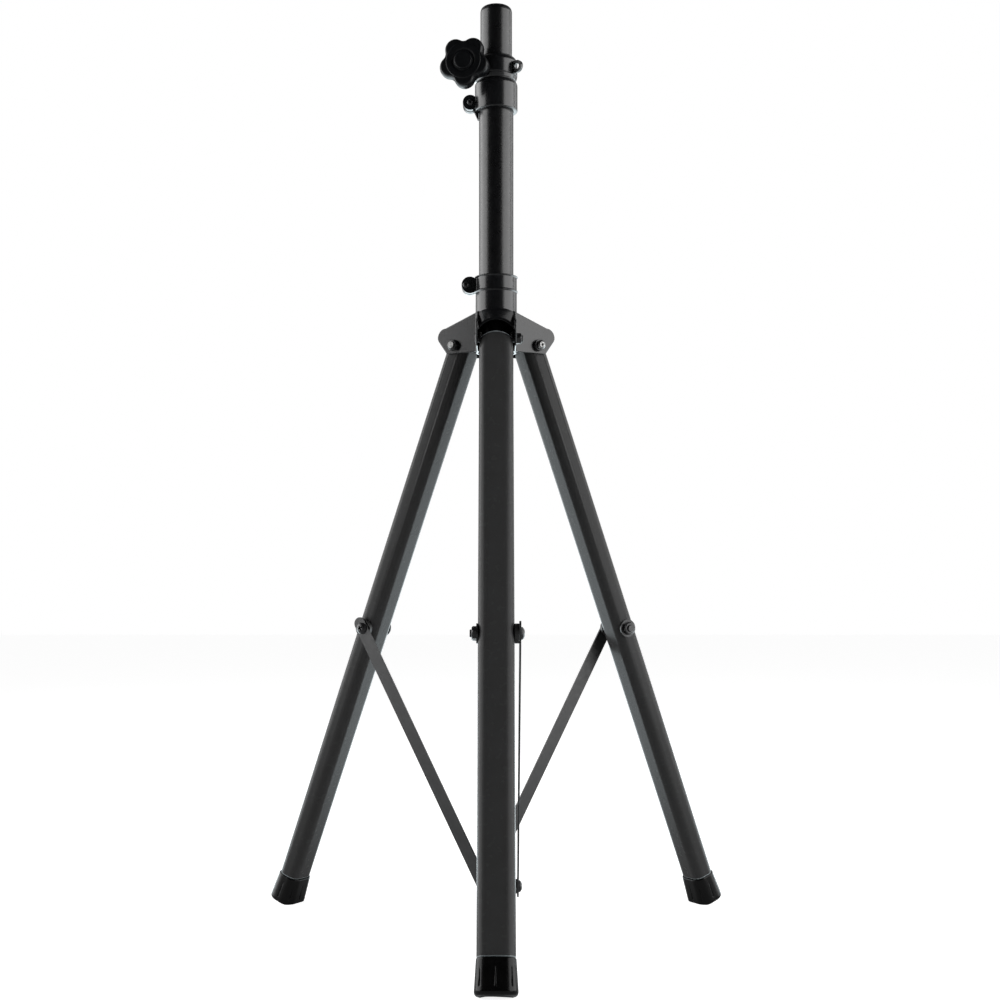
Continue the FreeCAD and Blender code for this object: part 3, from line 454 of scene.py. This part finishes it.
def make_knob():
    """A star knob: a five-lobed grip with a flat face, stepped in rings round its cap."""
    joint = JOINTS["knob_turn"]
    origin, axis = Vector(joint["pos_m"]), Vector(joint["axis"])
    foot, _ = span("knob_body", origin, axis)
    _, face = span("knob_cap", origin, axis)
    height = (face - foot) / MM
    place = frame_at(origin + foot * axis, axis) @ Matrix.Scale(MM, 4)
    # (height, share of the lobed plan, inset of that plan, radius of the round plan)
    grip = [
        (0.0, 0.0, 0.0, 8.4),
        (0.6, 0.0, 0.0, 9.0),
        (7.8, 0.0, 0.0, 9.0),
        (8.8, 0.0, 0.0, 10.0),
        (9.0, 1.0, 3.4, 0.0),
        (9.3, 1.0, 1.5, 0.0),
        (10.4, 1.0, 0.3, 0.0),
        (12.2, 1.0, 0.0, 0.0),
        (17.2, 1.0, 0.0, 0.0),
        (19.4, 1.0, 0.4, 0.0),
        (21.2, 1.0, 1.3, 0.0),
        (22.1, 1.0, 2.2, 0.0),
        (22.4, 1.0, 2.9, 0.0),
        (22.4, 0.0, 0.0, 19.5),
        (22.5, 0.0, 0.0, 19.3),
        (23.0, 0.0, 0.0, 19.0),
        (23.1, 0.0, 0.0, 18.2),
        (23.0, 0.0, 0.0, 13.4),
        (22.9, 0.0, 0.0, 12.8),
        (22.4, 0.0, 0.0, 12.5),
        (22.3, 0.0, 0.0, 11.4),
        (22.4, 0.0, 0.0, 10.0),
        (23.8, 0.0, 0.0, 9.7),
        (24.7, 0.0, 0.0, 9.4),
        (25.0, 0.0, 0.0, 8.8),
        (24.9, 0.0, 0.0, 6.0),
        (24.8, 0.0, 0.0, 2.0),
    ]
    lobe_steps = 28
    count = LOBES * lobe_steps
    stretch = height / max(level for level, *_ in grip)
    rings = []
    for level, share, inset, plain in grip:
        ring = []
        for i in range(count):
            angle = 2 * math.pi * i / count
            lobed = lobe_radius(angle) - inset
            radius = share * lobed + (1 - share) * plain
            ring.append((radius * math.cos(angle), radius * math.sin(angle), level * stretch))
        rings.append(ring)
    knob = add_piece("star_knob", loft(rings, place), ["knob_body", "knob_cap"], crease=50.0)
    smooth = knob.modifiers.new("smooth", "SUBSURF")
    smooth.levels = smooth.render_levels = 1
    softened("knob_stud", 0.2)


# ---- legs --------------------------------------------------------------------------


def rounded_outline(half_x, half_y, corner, arc_steps=28, run_steps=(14, 34)):
    """(x, y, outward x, outward y, distance round) along a rounded rectangle, and its length."""
    signs = [(1, 1), (-1, 1), (-1, -1), (1, -1)]
    runs = [2 * (half_x - corner), 2 * (half_y - corner)]
    arc = corner * math.pi / 2
    points = []
    travelled = 0.0
    for i, (sx, sy) in enumerate(signs):
        cx, cy = sx * (half_x - corner), sy * (half_y - corner)
        for k in range(arc_steps):
            bearing = math.pi / 2 * (i + k / arc_steps)
            nx, ny = math.cos(bearing), math.sin(bearing)
            points.append((cx + corner * nx, cy + corner * ny, nx, ny, travelled))
            travelled += arc / arc_steps
        bearing = math.pi / 2 * (i + 1)
        nx, ny = math.cos(bearing), math.sin(bearing)
        length, steps = runs[i % 2], run_steps[i % 2]
        for k in range(steps):
            along = length * k / steps
            x, y = cx + corner * nx - ny * along, cy + corner * ny + nx * along
            points.append((x, y, nx, ny, travelled))
            travelled += length / steps
    return points, travelled


def groove_depth(off, down):
    """The depth in millimetres of a teardrop groove, off its centre line and down the foot."""
    top, bottom = 8.0, 26.5
    if not top < down < bottom:
        return 0.0
    half = 0.35 + 0.75 * ((down - top) / (bottom - top)) ** 2
    half *= math.sqrt(min(1.0, (bottom - down) / 1.2))
    depth = 0.5 + 0.5 * (down - top) / (bottom - top)
    share = 1 - (off / half) ** 2 if abs(off) < half else 0.0
    return depth * math.sqrt(share)


def make_foot(name, azimuth):
    """A flared rubber foot with teardrop grooves, standing flat on the floor."""
    leg = leg_frame(azimuth)
    down = -(leg.to_3x3() @ UP)
    _, tube_end = span(f"leg_tube_{name}", leg.translation, down)
    place = leg @ Matrix.Translation((0, 0, -tube_end)) @ Matrix.Scale(MM, 4)
    grooves = 8
    top_edge = 0.5
    rings = []
    for k in range(int(FOOT_HEIGHT) * 2 + 1):
        level = k / 2
        grow = FOOT_FLARE * level
        over = max(level - (FOOT_HEIGHT - FOOT_ROUND), 0.0)
        inset = FOOT_ROUND - math.sqrt(FOOT_ROUND**2 - over**2)
        inset += top_edge * max(1.0 - level, 0.0)
        points, around = rounded_outline(
            FOOT_HALF_DEPTH + grow, FOOT_HALF_WIDTH + grow, FOOT_CORNER + grow
        )
        pitch = around / grooves
        start = pitch / 2
        ring = []
        for x, y, nx, ny, along in points:
            off = (along - start + pitch / 2) % pitch - pitch / 2
            cut = inset + groove_depth(off, level)
            ring.append((x - nx * cut, y - ny * cut, -SEAT_GAP - level))
        rings.append(ring)
    shape = loft(rings, place)
    for vertex in shape.verts:
        vertex.co.z = max(vertex.co.z, 0.0)
    add_piece(f"rubber_foot_{name}", shape, [f"leg_foot_{name}"], crease=60.0)


def off_section(x, y):
    """How far a point is outside a leg tube's section, in millimetres."""
    over_x = abs(x) - (LEG_HALF_DEPTH - LEG_CORNER)
    over_y = abs(y) - (LEG_HALF_WIDTH - LEG_CORNER)
    return math.hypot(max(over_x, 0), max(over_y, 0)) + min(max(over_x, over_y), 0) - LEG_CORNER


def make_leg_tube(name, azimuth):
    """A leg with a painted highlight, a light grey colour, on the broken outer edges of its cut
    ends, but not round its pin holes, nor the ears about them."""
    node = f"leg_tube_{name}"
    shape = cad_shape(node)
    to_leg = leg_frame(azimuth).inverted()
    pins = (Vector((0, 0, 0)), to_leg @ knee_of(azimuth) / MM)
    ear, on_skin = 8.3, -0.2
    weight = shape.edges.layers.float.new("bevel_weight_edge")
    for edge in shape.edges:
        middle = to_leg @ ((edge.verts[0].co + edge.verts[1].co) / 2) / MM
        sharp = len(edge.link_faces) == 2 and edge.calc_face_angle(0) > math.radians(40)
        by_pin = any(math.hypot(middle.x - pin.x, middle.z - pin.z) < ear for pin in pins)
        if sharp and not by_pin and off_section(middle.x, middle.y) > on_skin:
            edge[weight] = 1.0
    piece = add_piece(node + "_finish", shape, [node])
    piece.data.materials.append(LOOKS["rim"])
    bevel = break_edges(piece, 1.4)
    bevel.limit_method = "WEIGHT"
    bevel.use_clamp_overlap = False
    # the bevelled edges take the painted highlight look, a light grey standing in for the light they catch
    bevel.material = 1


def make_leg(name, azimuth):
    make_leg_tube(name, azimuth)
    make_foot(name, azimuth)
    softened(f"brace_spacer_{name}", 0.4)
    screw(f"brace_bolt_{name}", 0.25, [(knee_of(azimuth), pivot_axis(azimuth))], 3.2)
    softened(f"brace_nut_{name}", 0.3)
    softened(f"brace_{name}", 0.35)


# ---- hub ---------------------------------------------------------------------------


def make_hub():
    cast("hub_casting", 0.5, 3)
    screw("hub_clamp_bolt", 0.15, [clamp_head("hub_clamp_bolt")], 1.9)
    softened("hub_clamp_nut", 0.2)
    softened("leg_pivot_bolt_front", 0.2)
    for name, azimuth in LEGS.items():
        softened(f"leg_pivot_nut_{name}", 0.25)
        if name != "front":
            head = (leg_frame(azimuth).translation, -pivot_axis(azimuth))
            screw(f"leg_pivot_bolt_{name}", 0.2, [head], 2.4, bright_past=27.4)


# ---- studio ------------------------------------------------------------------------


def make_floor():
    """A pale floor, dim as light but bright to the eye, and where it lies behind the object
    bright in what the object mirrors."""
    shape = bmesh.new()
    bmesh.ops.create_grid(shape, x_segments=1, y_segments=1, size=12)
    mesh = bpy.data.meshes.new("floor")
    shape.to_mesh(mesh)
    shape.free()
    floor = bpy.data.objects.new("floor", mesh)
    pale = bpy.data.materials.new("floor_look")
    pale.use_nodes = True
    tree = pale.node_tree
    shader = tree.nodes["Principled BSDF"]
    path = add_node(tree, "LightPath")
    seen = remap(tree, path.outputs["Is Camera Ray"], 0.05, 0.88, start=0.0, stop=1.0)
    parts = add_node(tree, "SeparateXYZ")
    tree.links.new(add_node(tree, "TexCoord").outputs["Object"], parts.inputs["Vector"])
    behind = remap(tree, parts.outputs["Y"], 0.0, 3.4, start=0.18, stop=0.34)
    mirrored = add_node(tree, "Math", operation="MULTIPLY")
    tree.links.new(behind, mirrored.inputs[0])
    tree.links.new(path.outputs["Is Glossy Ray"], mirrored.inputs[1])
    glow = add_node(tree, "Math", operation="ADD")
    tree.links.new(seen, glow.inputs[0])
    tree.links.new(mirrored.outputs["Value"], glow.inputs[1])
    tree.links.new(glow.outputs["Value"], shader.inputs["Emission Strength"])
    white, cool = (1, 1, 1), (0.85, 0.96, 1.0)
    tint = two_tone(tree, path.outputs["Is Glossy Ray"], white, cool, start=0.0, stop=1.0)
    tree.links.new(tint, shader.inputs["Emission Color"])
    shader.inputs["Base Color"].default_value = (0.55, 0.55, 0.55, 1)
    shader.inputs["Roughness"].default_value = 0.9
    shader.inputs["Specular IOR Level"].default_value = 0.1
    mesh.materials.append(pale)
    bpy.context.scene.collection.objects.link(floor)


def make_world():
    """White all round to the eye, and as light bright behind the object and dim in front."""
    world = bpy.data.worlds.new("studio")
    world.use_nodes = True
    tree = world.node_tree
    back = tree.nodes["Background"]
    direction = add_node(tree, "TexCoord").outputs["Generated"]
    parts = add_node(tree, "SeparateXYZ")
    tree.links.new(direction, parts.inputs["Vector"])
    glow = remap(tree, parts.outputs["Y"], 0.02, 0.6, start=0.0, stop=1.0)
    seen = add_node(tree, "LightPath").outputs["Is Camera Ray"]
    either = add_node(tree, "Math", operation="MAXIMUM")
    tree.links.new(glow, either.inputs[0])
    tree.links.new(seen, either.inputs[1])
    tree.links.new(either.outputs["Value"], back.inputs["Strength"])
    back.inputs["Color"].default_value = (1, 1, 1, 1)
    bpy.context.scene.world = world


def make_panel(name, bearing, distance, height, size, power):
    """A soft rectangular light that faces the object, bearing in degrees from -Y."""
    light = bpy.data.lights.new(name, "AREA")
    light.shape = "RECTANGLE"
    light.size, light.size_y = size
    light.energy = power
    panel = bpy.data.objects.new(name, light)
    angle = math.radians(bearing)
    spot = Vector((distance * math.sin(angle), -distance * math.cos(angle), height))
    middle = Vector((0, 0, 0.5))
    panel.location = spot
    panel.rotation_euler = (middle - spot).to_track_quat("-Z", "Y").to_euler()
    panel.visible_camera = False
    bpy.context.scene.collection.objects.link(panel)


def make_studio():
    make_floor()
    make_world()
    make_panel("left_panel", -92, 2.4, 0.9, (2.6, 2.6), 88)
    make_panel("left_edge", -130, 2.6, 0.9, (0.8, 2.6), 14)
    make_panel("right_panel", 76, 2.4, 0.9, (3.0, 2.6), 95)
    make_panel("right_edge", 126, 2.6, 0.9, (0.8, 2.6), 12)
    bpy.context.scene.view_settings.view_transform = "Standard"


def make_camera():
    camera = bpy.data.cameras.new("camera")
    camera.sensor_width = 36.0
    camera.lens = 53.7
    camera.shift_x = 0.0038
    camera.shift_y = 0.0942
    eye = bpy.data.objects.new("camera", camera)
    eye.location = (0, -1.65, 0.37)
    eye.rotation_euler = (math.radians(90), 0, 0)
    bpy.context.scene.collection.objects.link(eye)
    bpy.context.scene.camera = eye


make_camera()
make_studio()
make_mast()
make_pole()
make_knob()
make_hub()
for leg_name, leg_azimuth in LEGS.items():
    make_leg(leg_name, leg_azimuth)
